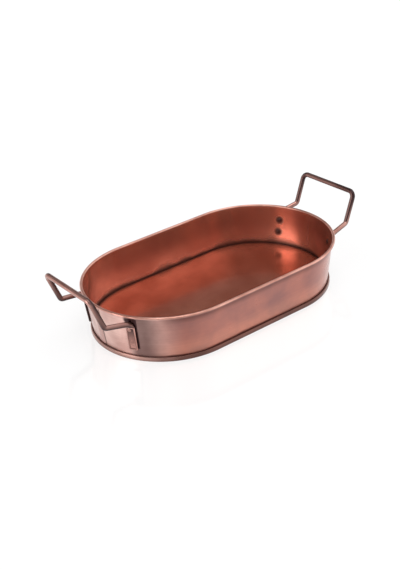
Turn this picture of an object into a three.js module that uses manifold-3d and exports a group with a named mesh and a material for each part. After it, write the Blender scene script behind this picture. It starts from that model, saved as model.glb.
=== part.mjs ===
// Oval serving tray in antiqued copper: a straight-sided oval wall with a curled rim and a
// lapped end seam, a flat bottom held by a double seam, and two bent rod handles whose
// flattened ends are riveted to the wall.
// Millimetres, +Z up. X runs along the tray, Y across it, and the foot stands on z = 0.
import * as THREE from "three";
import { mergeVertices } from "three/addons/utils/BufferGeometryUtils.js";
import Module from "manifold-3d";

const wasm = await Module();
wasm.setup();

// Driving dimensions
const SHEET = 0.5; // thickness of the wall and bottom sheet
const PLAY = 0.15; // clearance between the folded layers of the seam
const STRAIGHT_HALF = 54.6; // half the length of the straight sides
const ARC_SEGMENTS = 25; // flats in each half-round end

const RIM_RADIUS = 80; // half width of the tray at the centre of the rim bead
const RIM_HEIGHT = 47.6; // height of the bead's centre
const BEAD_RADIUS = 1.5; // outer radius of the curled bead
const BEAD_SWEEP = 300; // degrees that the curl turns through
const BEAD_STEPS = 10;

const FOOT_RADIUS = 76; // half width of the tray over the seam at its foot
const SEAM_HEIGHT = 4.4; // height of the folded band at the foot
const SEAM_CORNER = 0.6; // bend radius of the seam's two lower corners
const HOOK_TOP = 3.2; // where the wall's turned-up hook ends
const COVER_HOOK_END = 1.9; // where the bottom's turned-down hook ends
const LEAN_START = 5.2; // above this height the wall leans outwards
const TURN_STEPS = 3;

const FLOOR_TOP = 7.6; // height of the tray's inside floor
const FLOOR_BEND = 1.2; // bend radius between floor and countersink wall

const LAP_START = -2; // across the left end, where the outer layer of the lap begins
const LAP_END = 6; // where the inner layer ends
const LAP_BLEND = 12; // where the joggled sheet is back on the wall's line
const LAP_BOTTOM = 5.7;
const LAP_TOP = 45.1;
const EDGE_STEP = 0.06; // width in which a cut or pressed edge steps to its full depth

const TAB_FLAT = 4; // each tab sits on the fourth flat from the middle of its end
const TAB_WIDTH = 9;
const TAB_THICKNESS = 2;
const TAB_BOTTOM = 11.5;
const TAB_TOP = 35.4; // above this the flattened end draws in to the round rod
const TAB_RECESS = 0.45; // depth of the pressed face inside the tab's raised border
const TAB_BORDER = 2; // raised border left at the lower end of the pressed face
const RECESS_RUN_OUT = 1; // how far the pressed face runs on into the neck
const PRESSED_FROM = 60; // degrees round the tab's section where the pressed face begins
const SEAT_GAP = 0.3; // clearance under tabs and rivet heads

const ROD_DIAMETER = 5;
const ARM_ROOT_HEIGHT = 41.2; // where the rod turns outwards, just below the bead
const ARM_ROOT_STANDOFF = 2.9; // rod's centre from the wall at that turn
const ARM_END = [94, 36.3, 45.1]; // crease between arm and upright, from the end's centre
const GRIP_END = [105.4, 36.3, 75.7]; // corner between upright and grip
const ROOT_BEND = 4;
const CREASE_BEND = 4;
const GRIP_BEND = 6;
const BEND_STEPS = 4;
const NECK_LENGTH = 7; // length over which the tab becomes round
const SECTION_POINTS = 16;
const FLAT_POWER = 6; // superellipse power of the flattened tab
const ROUND_POWER = 2;

// Height of each rivet, and how far it is staggered from the tab's middle towards the grip's
const RIVETS = { upper: { z: 33.4, stagger: 1.2 }, lower: { z: 20.6, stagger: 0 } };
const RIVET_SHANK_RADIUS = 1.4;
const RIVET_HOLE_RADIUS = 1.7;
const RIVET_HEAD_RADIUS = 2.4;
const RIVET_HEAD_HEIGHT = 0.9;
const RIVET_TAIL_RADIUS = 1.9;
const RIVET_TAIL_PLAY = 0.15;
const RIVET_SIDES = 12;
const DOME_STEPS = 3;

const MERGE_DISTANCE = 1e-4; // points nearer than this are one point

const rad = THREE.MathUtils.degToRad;
const tabAngle = (TAB_FLAT * 180) / ARC_SEGMENTS;

// Layers of the double seam, from outside in, as the radius of each layer's middle
const LAYER = SHEET + PLAY;
const seamWall = FOOT_RADIUS - SHEET / 2;
const bodyHook = seamWall - LAYER;
const coverHook = bodyHook - LAYER;
const wallFoot = coverHook - LAYER;
const countersinkWall = wallFoot - LAYER;

// The wall's middle line is tangent to the inner side of the curl
const curlRadius = BEAD_RADIUS - SHEET / 2;
const toCurl = new THREE.Vector2(RIM_RADIUS - wallFoot, RIM_HEIGHT - LEAN_START);
const lean = Math.atan2(toCurl.x, toCurl.y) - Math.asin(curlRadius / toCurl.length());

function wallMiddle(z) {
  return wallFoot + (z - LEAN_START) * Math.tan(lean);
}

// Points of an arc in a profile, the first left out because the line before it ends there
function arc(centreR, centreZ, radius, fromDegrees, toDegrees, steps) {
  return Array.from({ length: steps }, (_, i) => {
    const angle = rad(fromDegrees + ((toDegrees - fromDegrees) * (i + 1)) / steps);
    return { r: centreR + radius * Math.cos(angle), z: centreZ + radius * Math.sin(angle) };
  });
}

// Both faces of a sheet that follows a profile line, as offset points left and right of it
function sheetFaces(line) {
  const left = [];
  const right = [];
  line.forEach((point, i) => {
    const before = line[Math.max(i - 1, 0)];
    const after = line[Math.min(i + 1, line.length - 1)];
    const into = new THREE.Vector2(point.r - before.r, point.z - before.z).normalize();
    const out = new THREE.Vector2(after.r - point.r, after.z - point.z).normalize();
    const along = into.clone().add(out).normalize();
    const straight = i === 0 || i === line.length - 1;
    const reach = SHEET / 2 / (straight ? 1 : along.dot(into));
    const offset = { r: -along.y * reach, z: along.x * reach };
    left.push({ r: point.r + offset.r, z: point.z + offset.z, lapped: point.lapped });
    right.push({ r: point.r - offset.r, z: point.z - offset.z, lapped: point.lapped });
  });
  return { left, right };
}

const lapRadius = wallMiddle(RIM_HEIGHT / 2);

// Stations round the oval: the centre of the arc that each lies on and its direction
function ovalStations() {
  const lapStops = [LAP_START, LAP_START + EDGE_STEP, LAP_END, LAP_END + EDGE_STEP, LAP_BLEND];
  const lapAngles = lapStops.map((y) => 180 - THREE.MathUtils.radToDeg(y / lapRadius));
  const stations = [];
  for (const [centre, first] of [[STRAIGHT_HALF, -90], [-STRAIGHT_HALF, 90]]) {
    const angles = Array.from({ length: ARC_SEGMENTS + 1 }, (_, i) => first + (180 * i) / ARC_SEGMENTS);
    if (centre < 0) {
      angles.push(...lapAngles);
    }
    angles.sort((a, b) => a - b);
    stations.push(...angles.map((angle) => ({ centre, angle })));
  }
  return stations;
}

const STATIONS = ovalStations();

function onStation(station, r, z) {
  const angle = rad(station.angle);
  return new THREE.Vector3(station.centre + r * Math.cos(angle), r * Math.sin(angle), z);
}

// How far the lap moves each face of the wall outwards at a station
function lapOffsets(station) {
  if (station.centre > 0) {
    return { outer: 0, inner: 0 };
  }
  const y = rad(180 - station.angle) * lapRadius;
  const slack = EDGE_STEP / 2;
  if (y < LAP_START + slack || y > LAP_BLEND - slack) {
    return { outer: 0, inner: 0 };
  }
  if (y < LAP_END + slack) {
    return { outer: SHEET, inner: 0 };
  }
  const joggle = (SHEET * (LAP_BLEND - y)) / (LAP_BLEND - LAP_END - EDGE_STEP);
  return { outer: joggle, inner: joggle };
}

// Skin over rows of points; each row is a ring, or a strip when the columns are left open
function skin(rows, { closeRows, closeColumns, caps }) {
  const columns = rows[0].length;
  const positions = rows.flat().flatMap((point) => point.toArray());
  const index = [];
  const rowCount = closeRows ? rows.length : rows.length - 1;
  const columnCount = closeColumns ? columns : columns - 1;
  for (let i = 0; i < rowCount; i += 1) {
    const next = (i + 1) % rows.length;
    for (let j = 0; j < columnCount; j += 1) {
      const side = (j + 1) % columns;
      const [a, b, c, d] = [i * columns + j, next * columns + j, next * columns + side, i * columns + side];
      index.push(a, b, c, a, c, d);
    }
  }
  index.push(...caps(rows));
  const geometry = new THREE.BufferGeometry();
  geometry.setAttribute("position", new THREE.Float32BufferAttribute(positions, 3));
  geometry.setIndex(index);
  return geometry;
}

// Flat end caps of a swept bar
function endCaps(rows) {
  const columns = rows[0].length;
  const last = (rows.length - 1) * columns;
  const index = [];
  for (let j = 1; j < columns - 1; j += 1) {
    index.push(0, j, j + 1, last, last + j + 1, last + j);
  }
  return index;
}

// Floor and underside of the bottom, inside the first and the last point of each row
function floorCaps(rows) {
  const columns = rows[0].length;
  const outline = rows.map(([point]) => new THREE.Vector2(point.x, point.y));
  return THREE.ShapeUtils.triangulateShape(outline, []).flatMap(([a, b, c]) => {
    const floor = [a, b, c].map((row) => (row + 1) * columns - 1);
    const underside = [a, c, b].map((row) => row * columns);
    return [...floor, ...underside];
  });
}

function toManifold(geometry) {
  const bare = new THREE.BufferGeometry();
  bare.setAttribute("position", geometry.getAttribute("position"));
  bare.setIndex(geometry.getIndex());
  const merged = mergeVertices(bare, MERGE_DISTANCE);
  const vertProperties = new Float32Array(merged.getAttribute("position").array);
  const triVerts = new Uint32Array(merged.getIndex().array);
  return new wasm.Manifold(new wasm.Mesh({ numProp: 3, vertProperties, triVerts }));
}

function toGeometry(manifold) {
  const mesh = manifold.getMesh();
  const geometry = new THREE.BufferGeometry();
  geometry.setAttribute("position", new THREE.BufferAttribute(mesh.vertProperties, 3));
  geometry.setIndex(new THREE.BufferAttribute(mesh.triVerts, 1));
  geometry.computeVertexNormals();
  return geometry;
}

// The four places of a tab: which end of the tray, and which side of it
const PLACES = [
  { end: "left", side: "front", x: -1, y: -1 },
  { end: "left", side: "rear", x: -1, y: 1 },
  { end: "right", side: "front", x: 1, y: -1 },
  { end: "right", side: "rear", x: 1, y: 1 },
];

// A frame on the wall's outer face at a tab: outward, across and up the leaning wall.
// The tab lies on the middle of one flat, which is a little nearer than the arc's radius.
function wallFrame(place, z, standoff) {
  const angle = rad(tabAngle);
  const flat = Math.cos(rad(90 / ARC_SEGMENTS));
  const faceRadius = (wallMiddle(z) + SHEET / 2 / Math.cos(lean)) * flat;
  const away = new THREE.Vector3(place.x * Math.cos(angle), place.y * Math.sin(angle), 0);
  const outward = away.clone().multiplyScalar(Math.cos(lean)).setZ(-Math.sin(lean));
  const up = away.clone().multiplyScalar(Math.sin(lean)).setZ(Math.cos(lean));
  const origin = new THREE.Vector3(place.x * STRAIGHT_HALF, 0, z)
    .addScaledVector(away, faceRadius)
    .addScaledVector(outward, standoff);
  return { origin, outward, up, across: new THREE.Vector3().crossVectors(outward, up) };
}

// A round body along the outward direction of a rivet's place, from a profile of
// [radius, height] pairs whose height starts at the wall's outer face
function turned(profile, place, { z, stagger }) {
  const points = profile.map(([radius, height]) => new THREE.Vector2(radius, height));
  const { origin, outward, up, across } = wallFrame(place, z, 0);
  origin.addScaledVector(across, -stagger * Math.sign(across.y * place.y));
  const geometry = new THREE.LatheGeometry(points, RIVET_SIDES);
  return geometry.applyMatrix4(new THREE.Matrix4().makeBasis(across, outward, up).setPosition(origin));
}

function rivetHole(place, rivetPlace) {
  const reach = TAB_THICKNESS * 2;
  const radius = RIVET_HOLE_RADIUS;
  const profile = [[0, -reach], [radius, -reach], [radius, reach], [0, reach]];
  return toManifold(turned(profile, place, rivetPlace));
}

function drilled(geometry, places) {
  let solid = toManifold(geometry);
  for (const place of places) {
    for (const rivetPlace of Object.values(RIVETS)) {
      solid = solid.subtract(rivetHole(place, rivetPlace));
    }
  }
  return toGeometry(solid);
}

// The wall: hook at the foot, leaning side, and the curl of the rim
function wallBand() {
  const hookCentre = (bodyHook + wallFoot) / 2;
  const hookRadius = (bodyHook - wallFoot) / 2;
  const hookTurnZ = SHEET + PLAY + SHEET / 2 + hookRadius;
  const leanPoint = (z, lapped) => ({ r: wallMiddle(z), z, lapped });
  const startAngle = 180 - THREE.MathUtils.radToDeg(lean);
  const curlPoint = (angle) => ({
    r: RIM_RADIUS + curlRadius * Math.cos(rad(angle)),
    z: RIM_HEIGHT + curlRadius * Math.sin(rad(angle)),
  });
  const line = [
    { r: bodyHook, z: HOOK_TOP },
    { r: bodyHook, z: hookTurnZ },
    ...arc(hookCentre, hookTurnZ, hookRadius, 0, -180, TURN_STEPS),
    { r: wallFoot, z: LEAN_START },
    leanPoint(LAP_BOTTOM, false),
    leanPoint(LAP_BOTTOM + EDGE_STEP, true),
    leanPoint(LAP_TOP - EDGE_STEP, true),
    leanPoint(LAP_TOP, false),
    curlPoint(startAngle),
    ...arc(RIM_RADIUS, RIM_HEIGHT, curlRadius, startAngle, startAngle - BEAD_SWEEP, BEAD_STEPS),
  ];
  const { left, right } = sheetFaces(line);
  const rows = STATIONS.map((station) => {
    const { outer, inner } = lapOffsets(station);
    const inside = left.map((p) => onStation(station, p.r + (p.lapped ? inner : 0), p.z));
    const outside = right.map((p) => onStation(station, p.r + (p.lapped ? outer : 0), p.z));
    return [...outside, ...inside.reverse()];
  });
  const ring = skin(rows, { closeRows: true, closeColumns: true, caps: () => [] });
  return drilled(ring, PLACES);
}

// The bottom: floor, countersink wall, and the fold that grips the wall's hook
function bottomPanel() {
  const floorMiddle = FLOOR_TOP - SHEET / 2;
  const low = SHEET / 2;
  const foldCentre = (seamWall + coverHook) / 2;
  const foldRadius = (seamWall - coverHook) / 2;
  const foldZ = SEAM_HEIGHT - SHEET / 2 - foldRadius;
  const line = [
    { r: countersinkWall - FLOOR_BEND, z: floorMiddle },
    ...arc(countersinkWall - FLOOR_BEND, floorMiddle - FLOOR_BEND, FLOOR_BEND, 90, 0, TURN_STEPS),
    { r: countersinkWall, z: low + SEAM_CORNER },
    ...arc(countersinkWall + SEAM_CORNER, low + SEAM_CORNER, SEAM_CORNER, 180, 270, TURN_STEPS),
    { r: seamWall - SEAM_CORNER, z: low },
    ...arc(seamWall - SEAM_CORNER, low + SEAM_CORNER, SEAM_CORNER, -90, 0, TURN_STEPS),
    { r: seamWall, z: foldZ },
    ...arc(foldCentre, foldZ, foldRadius, 0, 180, TURN_STEPS),
    { r: coverHook, z: COVER_HOOK_END },
  ];
  const { left, right } = sheetFaces(line);
  const rows = STATIONS.map((station) => {
    const under = right.map((p) => onStation(station, p.r, p.z));
    const upper = left.map((p) => onStation(station, p.r, p.z));
    return [...under, ...upper.reverse()];
  });
  return toGeometry(toManifold(skin(rows, { closeRows: true, closeColumns: false, caps: floorCaps })));
}

// A path through corner points, each corner rounded to its radius
function bentPath(corners) {
  const path = [];
  corners.forEach(({ point, radius }, i) => {
    if (!radius) {
      path.push(point.clone());
      return;
    }
    const back = corners[i - 1].point.clone().sub(point).normalize();
    const on = corners[i + 1].point.clone().sub(point).normalize();
    const halfAngle = back.angleTo(on) / 2;
    const middle = back.clone().add(on).normalize();
    const centre = point.clone().addScaledVector(middle, radius / Math.sin(halfAngle));
    const start = point.clone().addScaledVector(back, radius / Math.tan(halfAngle)).sub(centre);
    const turn = new THREE.Vector3().crossVectors(on, back).normalize();
    const sweep = Math.PI - 2 * halfAngle;
    for (let step = 0; step <= BEND_STEPS; step += 1) {
      path.push(start.clone().applyAxisAngle(turn, (sweep * step) / BEND_STEPS).add(centre));
    }
  });
  return path;
}

// Section of the rod at a distance from the tab's end: flat tab, neck, then round rod
function rodSection(distance, tabLength) {
  const toRound = THREE.MathUtils.smoothstep(distance, tabLength, tabLength + NECK_LENGTH);
  const width = THREE.MathUtils.lerp(TAB_WIDTH, ROD_DIAMETER, toRound);
  const thickness = THREE.MathUtils.lerp(TAB_THICKNESS, ROD_DIAMETER, toRound);
  const power = 2 / THREE.MathUtils.lerp(FLAT_POWER, ROUND_POWER, toRound);
  const pressed = distance > TAB_BORDER && distance < tabLength + RECESS_RUN_OUT;
  const shaped = (value) => Math.sign(value) * Math.abs(value) ** power;
  return Array.from({ length: SECTION_POINTS }, (_, i) => {
    const angle = (-2 * Math.PI * i) / SECTION_POINTS;
    const onFace = Math.sin(angle) > Math.sin(rad(PRESSED_FROM));
    const recess = pressed && onFace ? TAB_RECESS : 0;
    return [(width / 2) * shaped(Math.cos(angle)), (thickness / 2) * shaped(Math.sin(angle)) - recess];
  });
}

// Half of a handle, from the end of its tab to the middle of the grip
function handleHalf(place) {
  const tabMiddle = SEAT_GAP + TAB_THICKNESS / 2;
  const endCentre = new THREE.Vector3(place.x * STRAIGHT_HALF, 0, 0);
  const placed = ([x, y, z]) => new THREE.Vector3(place.x * x, place.y * y, z).add(endCentre);
  const tabEnd = wallFrame(place, TAB_BOTTOM, tabMiddle);
  const neck = wallFrame(place, TAB_TOP, tabMiddle).origin;
  const gripMiddle = placed([GRIP_END[0], 0, GRIP_END[2]]);
  const bends = bentPath([
    { point: neck },
    { point: wallFrame(place, ARM_ROOT_HEIGHT, ARM_ROOT_STANDOFF).origin, radius: ROOT_BEND },
    { point: placed(ARM_END), radius: CREASE_BEND },
    { point: placed(GRIP_END), radius: GRIP_BEND },
    { point: gripMiddle },
  ]);
  const tabLength = neck.distanceTo(tabEnd.origin);
  const intoNeck = bends[1].clone().sub(neck).normalize();
  const edge = EDGE_STEP / 2;
  const path = [
    ...[0, TAB_BORDER - edge, TAB_BORDER + edge].map((stop) =>
      tabEnd.origin.clone().addScaledVector(tabEnd.up, stop),
    ),
    neck,
    ...[RECESS_RUN_OUT - edge, RECESS_RUN_OUT + edge].map((stop) =>
      neck.clone().addScaledVector(intoNeck, stop),
    ),
    ...bends.slice(1),
  ];
  let across = tabEnd.across.clone();
  let distance = 0;
  return path.map((point, i) => {
    const before = path[Math.max(i - 1, 0)];
    const after = path[Math.min(i + 1, path.length - 1)];
    const into = point.clone().sub(before).normalize();
    const out = after.clone().sub(point).normalize();
    const along = i === path.length - 1 ? new THREE.Vector3(0, -place.y, 0) : into.add(out).normalize();
    distance += point.distanceTo(before);
    across = across.addScaledVector(along, -across.dot(along)).normalize();
    const face = new THREE.Vector3().crossVectors(along, across);
    return rodSection(distance, tabLength).map(([u, v]) =>
      point.clone().addScaledVector(across, u).addScaledVector(face, v),
    );
  });
}

function handle(end) {
  const places = PLACES.filter((place) => place.end === end);
  const half = handleHalf(places[0]);
  const mirrored = half.slice(0, -1).map((row) => row.map((p) => new THREE.Vector3(p.x, -p.y, p.z)));
  const rows = [...half, ...mirrored.reverse()];
  const bar = skin(rows, { closeRows: false, closeColumns: true, caps: endCaps });
  return drilled(bar, places);
}

// Profile of a low dome from its rim to its crown, as [radius, height] pairs
function dome(radius, seat, crown) {
  return Array.from({ length: DOME_STEPS + 1 }, (_, i) => {
    const angle = rad((90 * i) / DOME_STEPS);
    return [i === DOME_STEPS ? 0 : radius * Math.cos(angle), seat + (crown - seat) * Math.sin(angle)];
  });
}

// A rivet: low head inside the tray, shank, and a tail hammered down into the tab's recess
function rivet(place, rivetPlace) {
  const headSeat = -SHEET - SEAT_GAP;
  const tailSeat = SEAT_GAP + TAB_THICKNESS - TAB_RECESS + RIVET_TAIL_PLAY;
  const profile = [
    ...dome(RIVET_HEAD_RADIUS, headSeat, headSeat - RIVET_HEAD_HEIGHT).reverse(),
    [RIVET_SHANK_RADIUS, headSeat],
    [RIVET_SHANK_RADIUS, tailSeat],
    ...dome(RIVET_TAIL_RADIUS, tailSeat, SEAT_GAP + TAB_THICKNESS),
  ];
  return turned(profile, place, rivetPlace);
}

const copperSheet = { color: "#a5614f", metalness: 1, roughness: 0.32 };
const copperRod = { color: "#8a564b", metalness: 1, roughness: 0.38 };
const darkRivet = { color: "#5d3129", metalness: 1, roughness: 0.5 };

const tray = new THREE.Group();

function addPiece(name, geometry, finish) {
  const piece = new THREE.Mesh(geometry, new THREE.MeshStandardMaterial(finish));
  piece.name = name;
  tray.add(piece);
}

addPiece("wall_band", wallBand(), copperSheet);
addPiece("bottom_panel", bottomPanel(), copperSheet);
for (const end of ["left", "right"]) {
  addPiece(`handle_${end}`, handle(end), copperRod);
}
for (const place of PLACES) {
  for (const [level, rivetPlace] of Object.entries(RIVETS)) {
    addPiece(`rivet_${place.end}_${place.side}_${level}`, rivet(place, rivetPlace), darkRivet);
  }
}

export default tray;
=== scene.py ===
import math

import bpy
from mathutils import Matrix, Vector


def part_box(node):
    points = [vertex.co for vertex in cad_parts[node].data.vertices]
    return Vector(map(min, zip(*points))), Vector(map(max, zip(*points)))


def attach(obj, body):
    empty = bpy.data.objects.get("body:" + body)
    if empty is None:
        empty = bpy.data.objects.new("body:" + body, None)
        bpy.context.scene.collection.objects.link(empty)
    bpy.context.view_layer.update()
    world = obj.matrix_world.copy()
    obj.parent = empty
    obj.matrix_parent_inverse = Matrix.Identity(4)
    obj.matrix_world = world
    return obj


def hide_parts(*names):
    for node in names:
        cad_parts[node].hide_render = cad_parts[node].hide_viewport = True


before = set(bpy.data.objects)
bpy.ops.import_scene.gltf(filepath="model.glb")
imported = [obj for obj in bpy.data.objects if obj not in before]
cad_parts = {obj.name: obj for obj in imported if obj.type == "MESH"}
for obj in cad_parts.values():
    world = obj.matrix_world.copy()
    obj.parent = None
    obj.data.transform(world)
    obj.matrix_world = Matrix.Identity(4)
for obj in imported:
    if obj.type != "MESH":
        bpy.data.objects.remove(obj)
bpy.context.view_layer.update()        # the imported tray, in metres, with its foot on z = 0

# Bottom panel
# One sheet of copper, pressed flat in the middle, turned down along the inside of the wall,
# under its edge and up outside it, and folded over the wall's own hook as a double seam.
MM = 0.001
TOUCHING = 0.001 * MM  # points nearer than this are one point
SHEET = 0.5 * MM
SEAM_LAYER = 0.65 * MM  # one folded layer with its clearance
SEAM_HEIGHT = 4.4 * MM
SEAM_CORNER = 0.6 * MM
COVER_HOOK_END = 1.9 * MM
FLOOR_BEND = 1.2 * MM
END_STEPS = 72
SIDE_STEPS = 14
BEND_STEPS = 6
SMOOTH_ANGLE = math.radians(40)

bottom_low, bottom_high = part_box("bottom_panel")
FOOT_RADIUS = bottom_high.y
STRAIGHT_HALF = -bottom_low.x - FOOT_RADIUS
SEAM_WALL = FOOT_RADIUS - SHEET / 2
BODY_HOOK = SEAM_WALL - SEAM_LAYER
COVER_HOOK = BODY_HOOK - SEAM_LAYER
WALL_FOOT = COVER_HOOK - SEAM_LAYER
COUNTERSINK = WALL_FOOT - SEAM_LAYER
FLOOR_MIDDLE = bottom_high.z - SHEET / 2
RIM_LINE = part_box("wall_band")[1].y


def turn(degrees, center, axis, steps):
    """Sweeps what is selected round an axis, as the right hand turns."""
    bpy.ops.mesh.spin(steps=steps, angle=-math.radians(degrees), center=center, axis=axis)


def pull(step):
    """Draws what is selected out by a step."""
    bpy.ops.mesh.extrude_region_move(TRANSFORM_OT_translate={"value": step})


def front_point(radius, height):
    """A point of the tray's section, where the right end meets the front side."""
    return Vector((STRAIGHT_HALF, -radius, height))


def draw_section(name, start, moves):
    """The middle line of a sheet's section, drawn from start. A move of two numbers is a
    straight line to a radius and height, one of three a bend round a centre by degrees."""
    at = front_point(*start)
    bpy.ops.object.select_all(action="DESELECT")
    bpy.ops.mesh.primitive_plane_add(size=SHEET, location=at)
    bpy.ops.object.transform_apply(location=True)
    piece = bpy.context.object
    piece.name = name
    bpy.ops.object.mode_set(mode="EDIT")
    bpy.ops.mesh.select_all(action="SELECT")
    bpy.ops.mesh.merge(type="CENTER")
    for move in moves:
        target = front_point(*move[:2])
        if len(move) == 2:
            pull(target - at)
            at = target
        else:
            steps = math.ceil(abs(move[2]) / 90 * BEND_STEPS)
            turn(move[2], target, (-1, 0, 0), steps)
            at = target + Matrix.Rotation(math.radians(-move[2]), 3, "X") @ (at - target)
    return piece


def sweep_oval():
    """Sweeps the section round both ends and along both sides."""
    bpy.ops.mesh.select_all(action="SELECT")
    for end in (1, -1):
        turn(180, (end * STRAIGHT_HALF, 0, 0), (0, 0, 1), END_STEPS)
        for _ in range(SIDE_STEPS):
            pull((-end * 2 * STRAIGHT_HALF / SIDE_STEPS, 0, 0))
    bpy.ops.mesh.select_all(action="SELECT")
    bpy.ops.mesh.remove_doubles(threshold=TOUCHING)
    bpy.ops.mesh.normals_make_consistent(inside=False)


def pick(piece, test):
    """Selects the points whose place passes the test, and what lies between them."""
    bpy.ops.mesh.select_all(action="DESELECT")
    bpy.ops.object.mode_set(mode="OBJECT")
    for vertex in piece.data.vertices:
        vertex.select = test(vertex.co)
    bpy.ops.object.mode_set(mode="EDIT")


def thicken(piece):
    """Gives a sheet its thickness, half to each side of its middle."""
    bpy.ops.object.mode_set(mode="OBJECT")
    solid = piece.modifiers.new("sheet", "SOLIDIFY")
    solid.thickness = SHEET
    solid.offset = 0
    solid.use_even_offset = True
    bpy.ops.object.modifier_apply(modifier=solid.name)


low = SHEET / 2
fold_radius = (SEAM_WALL - COVER_HOOK) / 2
fold_height = SEAM_HEIGHT - SHEET / 2 - fold_radius
bottom = draw_section("bottom_sheet", (COUNTERSINK - FLOOR_BEND, FLOOR_MIDDLE), [
    (COUNTERSINK - FLOOR_BEND, FLOOR_MIDDLE - FLOOR_BEND, -90),
    (COUNTERSINK, low + SEAM_CORNER),
    (COUNTERSINK + SEAM_CORNER, low + SEAM_CORNER, 90),
    (SEAM_WALL - SEAM_CORNER, low),
    (SEAM_WALL - SEAM_CORNER, low + SEAM_CORNER, 90),
    (SEAM_WALL, fold_height),
    (SEAM_WALL - fold_radius, fold_height, 180),
    (COVER_HOOK, COVER_HOOK_END),
])
sweep_oval()
pick(bottom, lambda at: at.z > FLOOR_MIDDLE - TOUCHING)
bpy.ops.mesh.edge_face_add()
thicken(bottom)
bpy.ops.object.shade_smooth_by_angle(angle=SMOOTH_ANGLE)


def linear(code):
    """An sRGB hex colour as the linear colour that a socket takes."""
    channels = [int(code[i : i + 2], 16) / 255 for i in (0, 2, 4)]
    return (*(c / 12.92 if c <= 0.04045 else ((c + 0.055) / 1.055) ** 2.4 for c in channels), 1)


def add(owner, kind, inputs=None, output=0, **settings):
    """Adds a node to a material or world, and returns one of its outputs. The inputs are
    values, or outputs of other nodes."""
    node = owner.node_tree.nodes.new(kind)
    for name, value in settings.items():
        setattr(node, name, value)
    for name, value in (inputs or {}).items():
        if isinstance(value, bpy.types.NodeSocket):
            owner.node_tree.links.new(value, node.inputs[name])
        else:
            node.inputs[name].default_value = value
    return node.outputs[output] if node.outputs else None


def start_material(name):
    """A new material with no nodes but the place on the piece that its patterns read."""
    material = bpy.data.materials.new(name)
    material.use_nodes = True
    material.node_tree.nodes.clear()
    return material, add(material, "ShaderNodeTexCoord", output="Object")


def oval_radius(material, place):
    """How far a place is from the line between the centres of the tray's two ends."""
    folded = add(material, "ShaderNodeVectorMath", {0: place}, operation="ABSOLUTE")
    beyond = add(material, "ShaderNodeVectorMath", {0: folded, 1: (STRAIGHT_HALF, 0, 0)},
                 operation="SUBTRACT")
    kept = add(material, "ShaderNodeVectorMath", {0: beyond, 1: (0, 0, 0)}, operation="MAXIMUM")
    level = add(material, "ShaderNodeVectorMath", {0: kept, 1: (1, 1, 0)}, operation="MULTIPLY")
    return add(material, "ShaderNodeVectorMath", {0: level}, output="Value", operation="LENGTH")


def map_grain(piece):
    """Lays a UV map on a swept sheet, with U round the oval and V up its height, in metres."""
    quarter = RIM_LINE * math.pi / 2
    whole = 4 * quarter + 4 * STRAIGHT_HALF

    def along(at):
        side = -1 if at.y < 0 else 1
        beyond = abs(at.x) - STRAIGHT_HALF
        reach = quarter + STRAIGHT_HALF + at.x
        if beyond > 0:
            angle = math.atan2(abs(at.y), beyond) * RIM_LINE
            reach = angle if at.x < 0 else whole / 2 - angle
        return reach if side < 0 else whole - reach

    grain = piece.data.uv_layers.new(name="grain")
    for face in piece.data.polygons:
        middle = along(face.center)
        for loop in face.loop_indices:
            at = piece.data.vertices[piece.data.loops[loop].vertex_index].co
            start = along(at)
            grain.data[loop].uv = (start + whole * round((middle - start) / whole), at.z)


CLOUD_SIZE = 28 * MM
SCRATCH_DEPTH = 0.001 * MM
TARNISH_ROUGHNESS = 0.5
LACQUER = 0.2
LACQUER_ROUGHNESS = 0.06
METALLIC = 0.8  # the rest is the brown oxide of the antiquing bath, which isn't metallic
ACROSS_GRAIN = 0.25  # of a full turn, from along the brush marks


def finish_copper(material, place, tarnish_and_shade, colors, scratch, roughness, spread=0):
    """Antiqued copper between a bright, a brown and a dark colour, the dark one for patina and painted
    shade, brushed and lacquered.
    Scratch is how long a brush mark is along each axis, drawn some times coarser than real,
    and spread is how much more the marks blur reflections across them than along them."""
    bright, brown, dark = colors
    clouds = add(material, "ShaderNodeTexNoise", {
        "Vector": place, "Scale": 1 / CLOUD_SIZE, "Detail": 3, "Roughness": 0.55,
    })
    along = add(material, "ShaderNodeVectorMath", {0: place, 1: tuple(1 / size for size in scratch)},
                operation="MULTIPLY")
    streaks = add(material, "ShaderNodeTexNoise", {
        "Vector": along, "Scale": 1, "Detail": 3, "Roughness": 0.6,
    })
    mottle = add(material, "ShaderNodeMix", {0: 0.2, 2: clouds, 3: streaks})
    aged = add(material, "ShaderNodeMapRange", {"Value": mottle, "From Min": 0.35, "From Max": 0.65})
    toned = add(material, "ShaderNodeMix", {0: aged, 6: bright, 7: brown}, 2, data_type="RGBA")
    colored = add(material, "ShaderNodeMix", {0: tarnish_and_shade, 6: toned, 7: dark}, 2, data_type="RGBA")
    worn = add(material, "ShaderNodeMapRange", {
        "Value": mottle, "From Min": 0.3, "From Max": 0.7,
        "To Min": roughness[0], "To Max": roughness[1],
    })
    rough = add(material, "ShaderNodeMix", {0: tarnish_and_shade, 2: worn, 3: TARNISH_ROUGHNESS})
    relief = add(material, "ShaderNodeBump", {
        "Height": streaks, "Strength": 0.5, "Distance": SCRATCH_DEPTH,
    })
    surface = add(material, "ShaderNodeBsdfPrincipled", {
        "Base Color": colored, "Metallic": METALLIC, "Roughness": rough, "Normal": relief,
        "Coat Weight": LACQUER, "Coat Roughness": LACQUER_ROUGHNESS,
        "Anisotropic": spread, "Anisotropic Rotation": ACROSS_GRAIN,
    })
    if spread:
        grain = add(material, "ShaderNodeTangent", direction_type="UV_MAP", uv_map="grain")
        material.node_tree.links.new(grain, surface.node.inputs["Tangent"])
    add(material, "ShaderNodeOutputMaterial", {"Surface": surface})


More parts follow.
